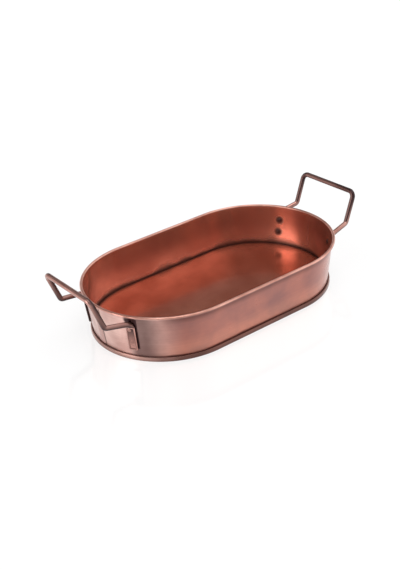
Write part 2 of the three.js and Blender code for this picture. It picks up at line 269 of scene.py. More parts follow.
# Antiqued copper, brushed along the tray and lacquered: a glossy warm red floor that mirrors
# the wall, browner in clouds, and nearly black in the corner where the wall stands on it.
EDGE_TARNISH = 5 * MM
CORNER_DARK = 0.8  # how far the tarnish has gone there, from 0 to 1, as in the shares below
floor_copper, place = start_material("antiqued_copper_floor")
radius = oval_radius(floor_copper, place)
near_wall = add(floor_copper, "ShaderNodeMapRange", {
    "Value": radius, "From Min": COUNTERSINK - EDGE_TARNISH, "From Max": COUNTERSINK,
    "To Max": CORNER_DARK,
}, interpolation_type="SMOOTHSTEP")
height = add(floor_copper, "ShaderNodeSeparateXYZ", {0: place}, output="Z")
on_floor = add(floor_copper, "ShaderNodeMapRange", {
    "Value": height, "From Min": SEAM_HEIGHT, "From Max": FLOOR_MIDDLE,
})
cornered = add(floor_copper, "ShaderNodeMath", {0: near_wall, 1: on_floor}, operation="MULTIPLY")
finish_copper(
    floor_copper, place, cornered,
    colors=(linear("C6755D"), linear("AC5940"), linear("2E100A")),
    scratch=(60 * MM, 1.2 * MM, 1.2 * MM), roughness=(0.16, 0.24),
)
bottom.data.materials.append(floor_copper)

PALE_START = 30 * MM
PALE_END = 70 * MM


def painted_pale_ends(material, place):
    """How far towards the tray's two ends a place is, where a painted highlight makes the copper paler.
    """
    folded = add(material, "ShaderNodeVectorMath", {0: place}, operation="ABSOLUTE")
    sideways = add(material, "ShaderNodeSeparateXYZ", {0: folded}, output="X")
    return add(material, "ShaderNodeMapRange", {
        "Value": sideways, "From Min": STRAIGHT_HALF + PALE_START,
        "From Max": STRAIGHT_HALF + PALE_END,
    }, interpolation_type="SMOOTHSTEP")


# The seam round the foot is duller than the floor, paler at the ends by a painted highlight, and
# darker towards the bottom, clear only along its upper edge.
FOOT_DARK = 0.6
foot_copper, place = start_material("antiqued_copper_foot")
height = add(foot_copper, "ShaderNodeSeparateXYZ", {0: place}, output="Z")
darker_low = add(foot_copper, "ShaderNodeMapRange", {
    "Value": height, "From Min": 0, "From Max": SEAM_HEIGHT, "To Min": FOOT_DARK, "To Max": 0,
})
# Painted highlight: paler towards the ends.
end_highlight = painted_pale_ends(foot_copper, place)
finish_copper(
    foot_copper, place, darker_low,
    colors=(
        *(add(foot_copper, "ShaderNodeMix", {0: end_highlight, 6: linear(middle), 7: linear(end)}, 2,
              data_type="RGBA") for middle, end in (("7A5046", "D2A89C"), ("603E36", "A87C72"))),
        linear("5A3831"),
    ),
    scratch=(45 * MM, 45 * MM, 1 * MM), roughness=(0.28, 0.36), spread=0.6,
)
map_grain(bottom)
bottom.data.materials.append(foot_copper)
for face in bottom.data.polygons:
    beyond = max(abs(face.center.x) - STRAIGHT_HALF, 0)
    face.material_index = Vector((beyond, face.center.y)).length > COUNTERSINK + SHEET
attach(bottom, "root")
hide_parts("bottom_panel")

# Wall band
# One strip of copper bent to the oval, its ends lapped and soldered at the left end. Its foot
# is turned out as a hook for the seam, and its top edge is curled outwards over nothing.
BEAD_RADIUS = 1.5 * MM
BEAD_SWEEP = 300
HOOK_TOP = 3.2 * MM
LEAN_START = 5.2 * MM
LAP_START = -2 * MM
LAP_END = 6 * MM
LAP_BLEND = 12 * MM
LAP_BOTTOM = 5.7 * MM
LAP_TOP = 45.1 * MM
CUT_EDGE = 0.06 * MM

wall_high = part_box("wall_band")[1]
RIM_RADIUS = wall_high.y - BEAD_RADIUS
RIM_HEIGHT = wall_high.z - BEAD_RADIUS
curl_radius = BEAD_RADIUS - SHEET / 2
to_curl = Vector((RIM_RADIUS - WALL_FOOT, RIM_HEIGHT - LEAN_START))
LEAN = math.atan2(to_curl.x, to_curl.y) - math.asin(curl_radius / to_curl.length)


def wall_radius(height):
    """Half width of the tray at the middle of its leaning wall."""
    return WALL_FOOT + (height - LEAN_START) * math.tan(LEAN)


hook_radius = (BODY_HOOK - WALL_FOOT) / 2
hook_height = SHEET + SEAM_LAYER - SHEET / 2 + hook_radius
curl_start = (
    RIM_RADIUS - curl_radius * math.cos(LEAN),
    RIM_HEIGHT + curl_radius * math.sin(LEAN),
)
lap_rows = [LAP_BOTTOM, LAP_BOTTOM + CUT_EDGE, LAP_TOP - CUT_EDGE, LAP_TOP]
wall = draw_section("wall_sheet", (BODY_HOOK, HOOK_TOP), [
    (BODY_HOOK, hook_height),
    (BODY_HOOK - hook_radius, hook_height, -180),
    (WALL_FOOT, LEAN_START),
    *((wall_radius(height), height) for height in lap_rows),
    curl_start,
    (RIM_RADIUS, RIM_HEIGHT, -BEAD_SWEEP),
])
sweep_oval()
for cut in (LAP_START, LAP_START + CUT_EDGE, LAP_END, LAP_END + CUT_EDGE, LAP_BLEND):
    pick(wall, lambda at: at.x < -STRAIGHT_HALF - WALL_FOOT / 2)
    bpy.ops.mesh.bisect(plane_co=(0, cut, 0), plane_no=(0, 1, 0))
thicken(wall)
slack = CUT_EDGE / 2
for vertex in wall.data.vertices:
    at = vertex.co
    radius = Vector((at.x + STRAIGHT_HALF, at.y)).length
    along = math.atan2(at.y, -STRAIGHT_HALF - at.x) * wall_radius(RIM_HEIGHT / 2)
    if at.x > -STRAIGHT_HALF or not LAP_BOTTOM + slack < at.z < LAP_TOP - slack:
        continue
    if LAP_START + slack < along < LAP_END + slack and radius > wall_radius(at.z):
        at.x -= SHEET
    elif LAP_END + slack < along < LAP_BLEND - slack:
        at.x -= SHEET * (LAP_BLEND - along) / (LAP_BLEND - LAP_END)
bpy.ops.object.shade_smooth_by_angle(angle=SMOOTH_ANGLE)


def on_wall(end, side, height, standoff):
    """A place off the wall's outside, in line with one of the four tabs. Its matrix holds the
    directions across the tab, out of the wall and up the wall, and then the point."""
    angle = math.radians(TAB_ANGLE)
    away = Vector((end * math.cos(angle), side * math.sin(angle), 0))
    outward = away * math.cos(LEAN) - Vector((0, 0, math.sin(LEAN)))
    upward = away * math.sin(LEAN) + Vector((0, 0, math.cos(LEAN)))
    at = Vector((end * STRAIGHT_HALF, 0, height)) + outward * standoff
    at += away * (wall_radius(height) + SHEET / 2 / math.cos(LEAN))
    place = Matrix((outward.cross(upward), outward, upward)).transposed().to_4x4()
    place.translation = at
    return place


# The same lacquered copper outside: duller and pinker, with painted light that makes it lighter
# low down and pale at the ends, painted shade that makes it grey-brown under the rim, dark in the
# groove over the foot, and the rolled rim bright, partly polished and partly a painted highlight.
GROOVE_TARNISH = 8 * MM
GROOVE_DARK = 0.75
UNDER_RIM = 38 * MM
UNDER_RIM_DARK = 0.55
LAP_SHADE = 1.2 * MM
LAP_LINE_DARK = 0.7
TAB_ANGLE = 28.8  # degrees round the tray's end from its long axis
TAB_WIDTH = 9 * MM
TAB_BOTTOM = 11.5 * MM
TAB_SHADE = 30 * MM
TAB_SHADE_DARK = 0.7
TAB_EDGE_SHADE = 4.4 * MM
ROOT_SHADE_HEIGHT = 43.5 * MM
ROOT_SHADE = 3 * MM
ROOT_SHADE_END = 6 * MM
PAINTED_LIGHT_LOW = 10 * MM
PAINTED_LIGHT_TOP = 26 * MM
outer_copper, place = start_material("antiqued_copper_outside")
split = add(outer_copper, "ShaderNodeSeparateXYZ", {0: place}).node.outputs
patches = add(outer_copper, "ShaderNodeTexNoise", {
    "Vector": place, "Scale": 1 / CLOUD_SIZE, "Detail": 2,
})
groove_reach = add(outer_copper, "ShaderNodeMapRange", {
    "Value": patches, "From Min": 0.35, "From Max": 0.65,
    "To Min": GROOVE_TARNISH, "To Max": SEAM_HEIGHT + 0.3 * MM,
})
groove = add(outer_copper, "ShaderNodeMapRange", {
    "Value": split["Z"], "From Min": SEAM_HEIGHT, "From Max": groove_reach,
    "To Min": GROOVE_DARK, "To Max": 0,
}, interpolation_type="SMOOTHSTEP")
# Painted shade under the rim, taken off towards the ends.
under_rim = add(outer_copper, "ShaderNodeMapRange", {
    "Value": split["Z"], "From Min": UNDER_RIM, "From Max": RIM_HEIGHT - BEAD_RADIUS,
    "To Max": UNDER_RIM_DARK,
}, interpolation_type="SMOOTHSTEP")
# Painted highlight: paler towards the ends.
end_highlight = painted_pale_ends(outer_copper, place)
in_middle = add(outer_copper, "ShaderNodeMath", {0: 1, 1: end_highlight}, operation="SUBTRACT")
under_rim = add(outer_copper, "ShaderNodeMath", {0: under_rim, 1: in_middle}, operation="MULTIPLY")
tarnish_and_shade = add(outer_copper, "ShaderNodeMath", {0: groove, 1: under_rim}, operation="MAXIMUM")

# Painted shadow: on the front the wall is darker past each tab, nearly black along the tab's
# edge, and nearly black between the tab and the rim.
sideways = add(outer_copper, "ShaderNodeMath", {0: split["X"]}, operation="ABSOLUTE")
past_end = add(outer_copper, "ShaderNodeMath", {0: sideways, 1: STRAIGHT_HALF},
               operation="SUBTRACT")
off_axis = add(outer_copper, "ShaderNodeMath", {0: split["Y"], 1: -1}, operation="MULTIPLY")
angle = add(outer_copper, "ShaderNodeMath", {0: off_axis, 1: past_end}, operation="ARCTAN2")
past_tab = add(outer_copper, "ShaderNodeMath", {0: angle, 1: math.radians(TAB_ANGLE)},
               operation="SUBTRACT")
beside_tab = add(outer_copper, "ShaderNodeMapRange", {
    "Value": split["Z"], "From Min": TAB_BOTTOM - 1 * MM, "From Max": TAB_BOTTOM + 1 * MM,
})
for reach, strength in ((TAB_SHADE, TAB_SHADE_DARK), (TAB_EDGE_SHADE, beside_tab)):
    shade = add(outer_copper, "ShaderNodeMapRange", {
        "Value": past_tab, "From Min": (TAB_WIDTH / 2 + reach / 4) / RIM_RADIUS,
        "From Max": (TAB_WIDTH / 2 + reach) / RIM_RADIUS, "To Min": strength, "To Max": 0,
    }, interpolation_type="SMOOTHSTEP")
    beyond_tab = add(outer_copper, "ShaderNodeMapRange", {
        "Value": past_tab, "From Min": -TAB_WIDTH / RIM_RADIUS,
        "From Max": TAB_WIDTH / 2 / RIM_RADIUS,
    }, interpolation_type="SMOOTHSTEP")
    shade = add(outer_copper, "ShaderNodeMath", {0: shade, 1: beyond_tab}, operation="MULTIPLY")
    tarnish_and_shade = add(outer_copper, "ShaderNodeMath", {0: tarnish_and_shade, 1: shade}, operation="MAXIMUM")
mirrored = add(outer_copper, "ShaderNodeCombineXYZ", {
    "X": sideways, "Y": split["Y"], "Z": split["Z"],
})
above_tab = on_wall(1, -1, ROOT_SHADE_HEIGHT, 0) @ Vector((-TAB_WIDTH / 5, 0, 0))
from_root = add(outer_copper, "ShaderNodeVectorMath", {0: mirrored, 1: above_tab}, output="Value",
                operation="DISTANCE")
shade = add(outer_copper, "ShaderNodeMapRange", {
    "Value": from_root, "From Min": ROOT_SHADE, "From Max": ROOT_SHADE_END,
    "To Min": 1, "To Max": 0,
}, interpolation_type="SMOOTHSTEP")
tarnish_and_shade = add(outer_copper, "ShaderNodeMath", {0: tarnish_and_shade, 1: shade}, operation="MAXIMUM")


def lap_distance(offset):
    """How far a place on the left end is, across the tray, from an upright line at an offset."""
    from_lap = add(outer_copper, "ShaderNodeVectorMath", {
        0: place, 1: (-STRAIGHT_HALF - WALL_FOOT, offset, 0),
    }, operation="SUBTRACT")
    near_end = add(outer_copper, "ShaderNodeVectorMath", {0: from_lap, 1: (0.1, 1, 0)},
                   operation="MULTIPLY")
    return add(outer_copper, "ShaderNodeVectorMath", {0: near_end}, output="Value",
               operation="LENGTH")


# A dark line along the lapped edge: partly patina in the joint and partly painted shade of the sheet's
# step.
lap_line = add(outer_copper, "ShaderNodeMapRange", {
    "Value": lap_distance(LAP_START - LAP_SHADE / 2),
    "From Min": LAP_SHADE / 2, "From Max": LAP_SHADE, "To Min": LAP_LINE_DARK, "To Max": 0,
}, interpolation_type="SMOOTHSTEP")
tarnish_and_shade = add(outer_copper, "ShaderNodeMath", {0: tarnish_and_shade, 1: lap_line}, operation="MAXIMUM")
# The rolled rim is cleared of patina and painted shade, and its lighter tone is partly polish and
# partly a painted highlight.
on_bead = add(outer_copper, "ShaderNodeMapRange", {
    "Value": split["Z"], "From Min": RIM_HEIGHT - BEAD_RADIUS * 0.5,
    "From Max": RIM_HEIGHT + BEAD_RADIUS * 0.3,
})
clean = add(outer_copper, "ShaderNodeMath", {0: 1, 1: on_bead}, operation="SUBTRACT")
tarnish_and_shade = add(outer_copper, "ShaderNodeMath", {0: tarnish_and_shade, 1: clean}, operation="MULTIPLY")
on_lap = add(outer_copper, "ShaderNodeMapRange", {
    "Value": lap_distance((LAP_START + LAP_END) / 2),
    "From Min": (LAP_END - LAP_START) / 2 - LAP_SHADE / 2, "From Max": (LAP_END - LAP_START) / 2,
    "To Min": 1, "To Max": 0,
})
# Painted light: the wall is lighter low down.
low_down = add(outer_copper, "ShaderNodeMapRange", {
    "Value": split["Z"], "From Min": PAINTED_LIGHT_LOW, "From Max": PAINTED_LIGHT_TOP, "To Min": 1, "To Max": 0,
}, interpolation_type="SMOOTHSTEP")
# Each row: the middle tone, a painted lighter tone low down, a painted highlight at the ends, and the
# rim's tone, partly polish and partly a painted highlight.
tones = []
for middle, low, end, rubbed_and_lit in (
    ("AC6D5F", "C27C68", "EAC2B7", "E4AC9C"),
    ("90605A", "A87062", "C4988E", "A87062"),
):
    tone = add(outer_copper, "ShaderNodeMix", {0: low_down, 6: linear(middle), 7: linear(low)}, 2,
               data_type="RGBA")
    tone = add(outer_copper, "ShaderNodeMix", {0: end_highlight, 6: tone, 7: linear(end)}, 2,
               data_type="RGBA")
    tone = add(outer_copper, "ShaderNodeMix", {0: on_lap, 6: tone, 7: linear("C4988E")}, 2,
               data_type="RGBA")
    tones.append(add(outer_copper, "ShaderNodeMix", {0: on_bead, 6: tone, 7: linear(rubbed_and_lit)}, 2,
                     data_type="RGBA"))
finish_copper(
    outer_copper, place, tarnish_and_shade,
    colors=(*tones, linear("3A1A1C")),
    scratch=(45 * MM, 45 * MM, 1 * MM), roughness=(0.26, 0.34), spread=0.7,
)

# Inside, the wall has the floor's redder tone, made lighter low down by painted light. It is
# nearly black where it meets the floor and in halos round the rivets, and a painted dark
# reflection makes it darker at the front of the right end.
FLOOR_LINE = 3 * MM
FLOOR_STAIN = 9 * MM
RIVET_HEAD = 2.4 * MM
RIVET_HALO = 6 * MM
INSIDE_LOW = 18 * MM
INSIDE_TOP = 36 * MM
DARK_END_START = 8 * MM
DARK_END_FULL = -16 * MM
DARK_END_DARK = 0.6
STAIN_DARK = 0.9
RIVETS = {  # height, and how far off the tab's middle
    "upper": (33.4 * MM, 1.2 * MM),
    "lower": (20.6 * MM, 0),
}

inner_copper, place = start_material("antiqued_copper_inside")
height = add(inner_copper, "ShaderNodeSeparateXYZ", {0: place}, output="Z")
patches = add(inner_copper, "ShaderNodeTexNoise", {
    "Vector": place, "Scale": 1 / CLOUD_SIZE, "Detail": 3,
})
stain_reach = add(inner_copper, "ShaderNodeMapRange", {
    "Value": patches, "From Min": 0.35, "From Max": 0.6,
    "To Min": FLOOR_STAIN, "To Max": FLOOR_LINE,
})
stain_top = add(inner_copper, "ShaderNodeMath", {0: stain_reach, 1: FLOOR_MIDDLE}, operation="ADD")
tarnish_and_shade = add(inner_copper, "ShaderNodeMapRange", {
    "Value": height, "From Min": FLOOR_MIDDLE, "From Max": stain_top, "To Min": STAIN_DARK, "To Max": 0,
}, interpolation_type="SMOOTHSTEP")
folded = add(inner_copper, "ShaderNodeVectorMath", {0: place}, operation="ABSOLUTE")
for rivet_height, step in RIVETS.values():
    middle = on_wall(1, 1, rivet_height, -SHEET) @ Vector((step, 0, 0))
    distance = add(inner_copper, "ShaderNodeVectorMath", {0: folded, 1: middle}, output="Value",
                   operation="DISTANCE")
    halo = add(inner_copper, "ShaderNodeMapRange", {
        "Value": distance, "From Min": RIVET_HEAD, "From Max": RIVET_HALO,
        "To Min": STAIN_DARK, "To Max": 0,
    }, interpolation_type="SMOOTHSTEP")
    tarnish_and_shade = add(inner_copper, "ShaderNodeMath", {0: tarnish_and_shade, 1: halo}, operation="MAXIMUM")
across = add(inner_copper, "ShaderNodeSeparateXYZ", {0: place}).node.outputs
# Painted dark reflection at the front of the right end.
frontwards = add(inner_copper, "ShaderNodeMapRange", {
    "Value": across["Y"], "From Min": DARK_END_START, "From Max": DARK_END_FULL,
    "To Max": DARK_END_DARK,
}, interpolation_type="SMOOTHSTEP")
rightwards = add(inner_copper, "ShaderNodeMapRange", {
    "Value": across["X"], "From Min": STRAIGHT_HALF, "From Max": STRAIGHT_HALF + PALE_START,
}, interpolation_type="SMOOTHSTEP")
dark_end_reflection = add(inner_copper, "ShaderNodeMath", {0: frontwards, 1: rightwards}, operation="MULTIPLY")
tarnish_and_shade = add(inner_copper, "ShaderNodeMath", {0: tarnish_and_shade, 1: dark_end_reflection}, operation="MAXIMUM")
# Painted light: the wall is lighter low down.
low_down = add(inner_copper, "ShaderNodeMapRange", {
    "Value": height, "From Min": INSIDE_LOW, "From Max": INSIDE_TOP, "To Min": 1, "To Max": 0,
}, interpolation_type="SMOOTHSTEP")
finish_copper(
    inner_copper, place, tarnish_and_shade,
    colors=(
        *(add(inner_copper, "ShaderNodeMix", {0: low_down, 6: linear(high), 7: linear(low)}, 2,
              data_type="RGBA") for high, low in (("C68068", "E09880"), ("AC6450", "C67C66"))),
        linear("3A140C"),
    ),
    scratch=(45 * MM, 45 * MM, 1 * MM), roughness=(0.2, 0.26), spread=0.6,
)
map_grain(wall)
wall.data.materials.append(outer_copper)
wall.data.materials.append(inner_copper)
for face in wall.data.polygons:
    nearest = max(min(face.center.x, STRAIGHT_HALF), -STRAIGHT_HALF)
    inward = face.normal.dot((face.center.x - nearest, face.center.y, 0)) < 0
    face.material_index = inward and LEAN_START < face.center.z < curl_start[1]
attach(wall, "root")
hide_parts("wall_band")

# Rod handles
# Each is one 5 mm copper rod bent to a rectangular bail that leans out from the tray's end. Its
# ends are hammered flat into tabs with a pressed face, which lie on the wall under the rim.
ROD = 5 * MM
ROD_SIDES = 24
ROD_BEND_STEPS = 10
SEAT_GAP = 0.05 * MM
TAB_THICKNESS = 2 * MM
TAB_TOP = 35.4 * MM
TAB_END_ROWS = [(0, 0.8), (0.3 * MM, 0.93), (0.9 * MM, 1)]  # height and size of the rounded end
PRESS_TOP = 36.8 * MM
PRESS_BORDER = 0.35 * MM
PRESS_SLOPE = 0.3 * MM
PRESS_DEPTH = 0.45 * MM
PRESS_LINE = 0.45 * MM
NECK_CUTS = 8
ARM_ROOT_HEIGHT = 41.2 * MM
ARM_ROOT_STANDOFF = 2.75 * MM
ARM_REACH = 11.4 * MM  # from the crease at the upright's foot out to the grip
ARM_HEIGHT = 45.1 * MM
GRIP_HALF = 36.3 * MM
ROOT_BEND = 4 * MM
CREASE_BEND = 4 * MM
GRIP_BEND = 6 * MM

handle_low, handle_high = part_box("handle_left")
GRIP_X = handle_low.x + ROD / 2
GRIP_Z = handle_high.z - ROD / 2


def draw_rings(rows):
    """Draws the selected ring up round the Z axis, by rows of height and size."""
    height, size = rows[0]
    bpy.ops.transform.resize(value=(size, size, 1), center_override=(0, 0, height))
    for next_height, next_size in rows[1:]:
        factor = next_size / size
        pull((0, 0, next_height - height))
        bpy.ops.transform.resize(value=(factor, factor, 1), center_override=(0, 0, next_height))
        height, size = next_height, next_size


def bend(before, corner, after, radius):
    """The bend of a rod at a corner: its start, centre, axis, angle and end."""
    heading = (corner - before).normalized()
    leaving = (after - corner).normalized()
    angle = heading.angle(leaving)
    axis = heading.cross(leaving).normalized()
    start = corner - heading * radius * math.tan(angle / 2)
    center = start + axis.cross(heading) * radius
    end = center + Matrix.Rotation(angle, 3, axis) @ (start - center)
    return start, center, axis, angle, end


def pick_faces(piece, test):
    """Selects the faces whose middle and normal pass the test."""
    bpy.ops.mesh.select_all(action="DESELECT")
    bpy.ops.mesh.select_mode(type="FACE")
    bpy.ops.object.mode_set(mode="OBJECT")
    for face in piece.data.polygons:
        face.select = test(face.center, face.normal)
    bpy.ops.object.mode_set(mode="EDIT")


tab_middle = SEAT_GAP + TAB_THICKNESS / 2
bench = on_wall(-1, -1, TAB_BOTTOM, tab_middle)
to_bench = bench.inverted()
tab_top = to_bench @ on_wall(-1, -1, TAB_TOP, tab_middle).translation
press_top = (to_bench @ on_wall(-1, -1, PRESS_TOP, tab_middle).translation).z
root = to_bench @ on_wall(-1, -1, ARM_ROOT_HEIGHT, ARM_ROOT_STANDOFF).translation
arm_end = to_bench @ Vector((GRIP_X + ARM_REACH, -GRIP_HALF, ARM_HEIGHT))
grip_corner = to_bench @ Vector((GRIP_X, -GRIP_HALF, GRIP_Z))
grip_middle = to_bench @ Vector((GRIP_X, 0, GRIP_Z))

bpy.ops.object.select_all(action="DESELECT")
bpy.ops.mesh.primitive_circle_add(vertices=ROD_SIDES, radius=TAB_THICKNESS / 2, location=(0, 0, 0))
left_handle = bpy.context.object
left_handle.name = "handle_left_rod"
bpy.ops.object.mode_set(mode="EDIT")
for side in (1, -1):
    pick(left_handle, lambda at: at.x * side > TOUCHING)
    bpy.ops.transform.translate(value=(side * (TAB_WIDTH - TAB_THICKNESS) / 2, 0, 0))
bpy.ops.mesh.select_all(action="SELECT")
draw_rings([*TAB_END_ROWS, (tab_top.z, 1)])
pick(left_handle, lambda at: at.z < TOUCHING)
bpy.ops.mesh.edge_face_add()

start, center, axis, angle, end = bend(tab_top, root, arm_end, ROOT_BEND)
halfway = center + Matrix.Rotation(angle / 2, 3, axis) @ (start - center)
heading = Matrix.Rotation(angle / 2, 3, axis) @ (root - tab_top).normalized()
leaning = Vector((0, 0, 1)).rotation_difference(heading).to_euler()
bpy.ops.mesh.select_all(action="DESELECT")
bpy.ops.mesh.primitive_circle_add(
    vertices=ROD_SIDES, radius=ROD / 2, location=halfway, rotation=leaning
)
turn(math.degrees(angle / 2), center, axis, ROD_BEND_STEPS // 2)
for corner, after, radius in (
    (arm_end, grip_corner, CREASE_BEND),
    (grip_corner, grip_middle, GRIP_BEND),
):
    at = end
    start, center, axis, angle, end = bend(at, corner, after, radius)
    pull(start - at)
    turn(math.degrees(angle), center, axis, ROD_BEND_STEPS)
pull(grip_middle - end)
pick(left_handle, lambda at: abs(at.z - tab_top.z) < TOUCHING or (
    (at - halfway).length < ROD and abs((at - halfway).dot(heading)) < TOUCHING
))
bpy.ops.mesh.bridge_edge_loops(number_cuts=NECK_CUTS, interpolation="SURFACE")

bpy.ops.mesh.select_all(action="SELECT")
bpy.ops.mesh.normals_make_consistent(inside=False)
pick_faces(left_handle, lambda middle, normal: normal.y > 0.99 and (
    TAB_END_ROWS[-1][0] < middle.z < press_top and abs(middle.x) < TAB_WIDTH / 2
))
flat_half = TAB_WIDTH / 2 - TAB_THICKNESS / 2 * (1 - math.sin(2 * math.pi / ROD_SIDES))
bpy.ops.mesh.inset(thickness=PRESS_BORDER, depth=0)
bpy.ops.mesh.inset(thickness=PRESS_SLOPE, depth=-PRESS_DEPTH)
bpy.ops.mesh.inset(thickness=PRESS_LINE, depth=0)
bpy.ops.mesh.select_mode(type="VERT")
bpy.ops.object.mode_set(mode="OBJECT")
left_handle.matrix_world = bench
bpy.ops.object.transform_apply()
mirror = left_handle.modifiers.new("other half", "MIRROR")
mirror.use_axis = (False, True, False)
mirror.merge_threshold = TOUCHING
bpy.ops.object.modifier_apply(modifier=mirror.name)
bpy.ops.object.mode_set(mode="EDIT")
bpy.ops.mesh.select_all(action="SELECT")
bpy.ops.mesh.remove_doubles(threshold=TOUCHING)
bpy.ops.mesh.normals_make_consistent(inside=False)
bpy.ops.object.mode_set(mode="OBJECT")
bpy.ops.object.shade_smooth_by_angle(angle=SMOOTH_ANGLE)


def copy_piece(piece, name, place):
    """A copy of a piece with a mesh of its own, put in place."""
    bpy.ops.object.select_all(action="DESELECT")
    piece.select_set(True)
    bpy.context.view_layer.objects.active = piece
    bpy.ops.object.duplicate()
    copy = bpy.context.object
    copy.name = name
    copy.matrix_world = place
    bpy.ops.object.transform_apply()
    return copy


# The rod is antiqued darker than the sheet, purple-brown. Light and shade are painted on it by the
# way each surface faces: it is lightest towards the tray's left, on top of the arms and on the
# faces of the front tabs, and darker on the right handle and the rear tabs. Painted shade makes it
# nearly black underneath, behind the tabs and in the line round each pressed face.
GRIP_RIGHT_DARK = 0.4  # added where the surface faces right, and taken off where it faces left
GRIP_UNDER_DARK = 0.3
UPRIGHT_RIGHT_DARK = 0.7
ARM_UNDER_DARK = 0.45
REAR_TAB = 0.65
LEFT_HANDLE = (0.4, 0.9, 0.35)  # the grip, the uprights and the top of the arms
RIGHT_HANDLE = (0.92, 1.45, 0.1)
rod_copper, place = start_material("antiqued_copper_rod")
share = add(rod_copper, "ShaderNodeAttribute", output="Fac", attribute_name="patina_and_shade")
finish_copper(
    rod_copper, place, share,
    colors=(linear("D8A498"), linear("AC786C"), linear("341C1C")),
    scratch=(12 * MM, 12 * MM, 12 * MM), roughness=(0.12, 0.18),
)
left_handle.data.materials.append(rod_copper)
press_half = flat_half - PRESS_BORDER - PRESS_SLOPE - PRESS_LINE / 2
press_low = TAB_END_ROWS[-1][0] + PRESS_BORDER + PRESS_SLOPE + PRESS_LINE / 2
press_high = tab_top.z - PRESS_LINE / 2


def patina_and_shade_share(at, on_bench, normal, grip, upright, arm):
    """How dark a point of a handle is made by patina and painted light and shade, from 0 to 1 once
    it is clamped. The last three are the shares of the grip, of the uprights and of the top of the
    arms."""
    if on_bench.z < press_top and abs(on_bench.x) < TAB_WIDTH / 2 + TOUCHING:
        on_face = on_bench.y > 0.8 * TAB_THICKNESS / 2 or on_bench.x < -flat_half - TOUCHING
        inside_line = press_low < on_bench.z < press_high and abs(on_bench.x) < press_half
        rubbed_and_lit = on_bench.y > 0 and (on_face or inside_line)
        return (REAR_TAB if at.y > 0 else 0) if rubbed_and_lit else 1
    if at.z < ARM_HEIGHT + ROD / 2:
        return arm + ARM_UNDER_DARK * (1 - normal.z)
    if abs(at.y) < GRIP_HALF - GRIP_BEND:
        return grip + GRIP_RIGHT_DARK * normal.x + GRIP_UNDER_DARK * max(-normal.z, 0)
    return upright + UPRIGHT_RIGHT_DARK * normal.x


right_handle = copy_piece(left_handle, "handle_right_rod", Matrix.Rotation(math.pi, 4, "Z"))
# The dark share of each point: patina, and painted light and shade by the way its surface faces.
for piece, shares in ((left_handle, LEFT_HANDLE), (right_handle, RIGHT_HANDLE)):
    patina_and_shade = piece.data.attributes.new("patina_and_shade", "FLOAT", "POINT")
    for vertex in piece.data.vertices:
        at = vertex.co
        on_bench = to_bench @ Vector((-abs(at.x), -abs(at.y), at.z))
        share = patina_and_shade_share(at, on_bench, vertex.normal, *shares)
        patina_and_shade.data[vertex.index].value = min(max(share, 0), 1)
for piece, node in ((left_handle, "handle_left"), (right_handle, "handle_right")):
    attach(piece, "root")
    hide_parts(node)

# Rivets
# Two copper rivets go through each tab and the wall. Their low heads show inside the tray, and
# their tails are hammered flat in the pressed face of the tab.
RIVET_SIDES = 32
RIVET_SHANK = 1.4 * MM
RIVET_HEAD_HEIGHT = 0.9 * MM
RIVET_TAIL = 1.9 * MM
RIVET_TAIL_HEIGHT = 0.3 * MM
DOME_ROWS = 5


def dome_rows(radius, seat, crown):
    """Rows of height and radius, from a dome's rim to near its crown."""
    angles = [math.radians(90) * step / DOME_ROWS for step in range(DOME_ROWS)]
    return [(seat + (crown - seat) * math.sin(angle), radius * math.cos(angle)) for angle in angles]


head_seat = -SHEET - TOUCHING
tail_seat = SEAT_GAP + TAB_THICKNESS - PRESS_DEPTH
rivet_rows = [
    *reversed(dome_rows(RIVET_HEAD, head_seat, head_seat - RIVET_HEAD_HEIGHT)),
    (head_seat, RIVET_SHANK),
    (tail_seat, RIVET_SHANK),
    *dome_rows(RIVET_TAIL, tail_seat, tail_seat + RIVET_TAIL_HEIGHT),
]
bpy.ops.object.select_all(action="DESELECT")
bpy.ops.mesh.primitive_circle_add(vertices=RIVET_SIDES, radius=1, location=(0, 0, rivet_rows[0][0]))
rivet = bpy.context.object
bpy.ops.object.transform_apply(location=True)
bpy.ops.object.mode_set(mode="EDIT")
draw_rings(rivet_rows)
for row in (0, -1):
    pick(rivet, lambda at: abs(at.z - rivet_rows[row][0]) < TOUCHING)
    bpy.ops.mesh.edge_face_add()
bpy.ops.mesh.select_all(action="SELECT")
bpy.ops.mesh.normals_make_consistent(inside=False)
bpy.ops.object.mode_set(mode="OBJECT")
bpy.ops.object.shade_smooth_by_angle(angle=SMOOTH_ANGLE)

# The heads are the dark brown of the antiquing bath, in spots. The flat tails are about as light
# as the face of their tab, so that they show little in it.
TAIL_DARK = 0.4
SPOT_SIZE = 2 * MM
SPOT_LIGHTEST = 0.86
patina_and_shade = rivet.data.attributes.new("patina_and_shade", "FLOAT", "POINT")
for vertex in rivet.data.vertices:
    patina_and_shade.data[vertex.index].value = TAIL_DARK if vertex.co.z > tail_seat - TOUCHING else 1
rivet_copper, place = start_material("darkened_copper_rivet")
spots = add(rivet_copper, "ShaderNodeTexNoise", {
    "Vector": place, "Scale": 1 / SPOT_SIZE, "Detail": 2,
})
patchy = add(rivet_copper, "ShaderNodeMapRange", {
    "Value": spots, "To Min": SPOT_LIGHTEST, "To Max": 1,
})
share = add(rivet_copper, "ShaderNodeAttribute", output="Fac", attribute_name="patina_and_shade")
share = add(rivet_copper, "ShaderNodeMath", {0: share, 1: patchy}, operation="MULTIPLY")
finish_copper(
    rivet_copper, place, share,
    colors=(linear("D8A498"), linear("AC786C"), linear("34140E")),
    scratch=(1 * MM, 1 * MM, 1 * MM), roughness=(0.3, 0.4),
)
rivet.data.materials.append(rivet_copper)
outward = Matrix.Rotation(-math.pi / 2, 4, "X")
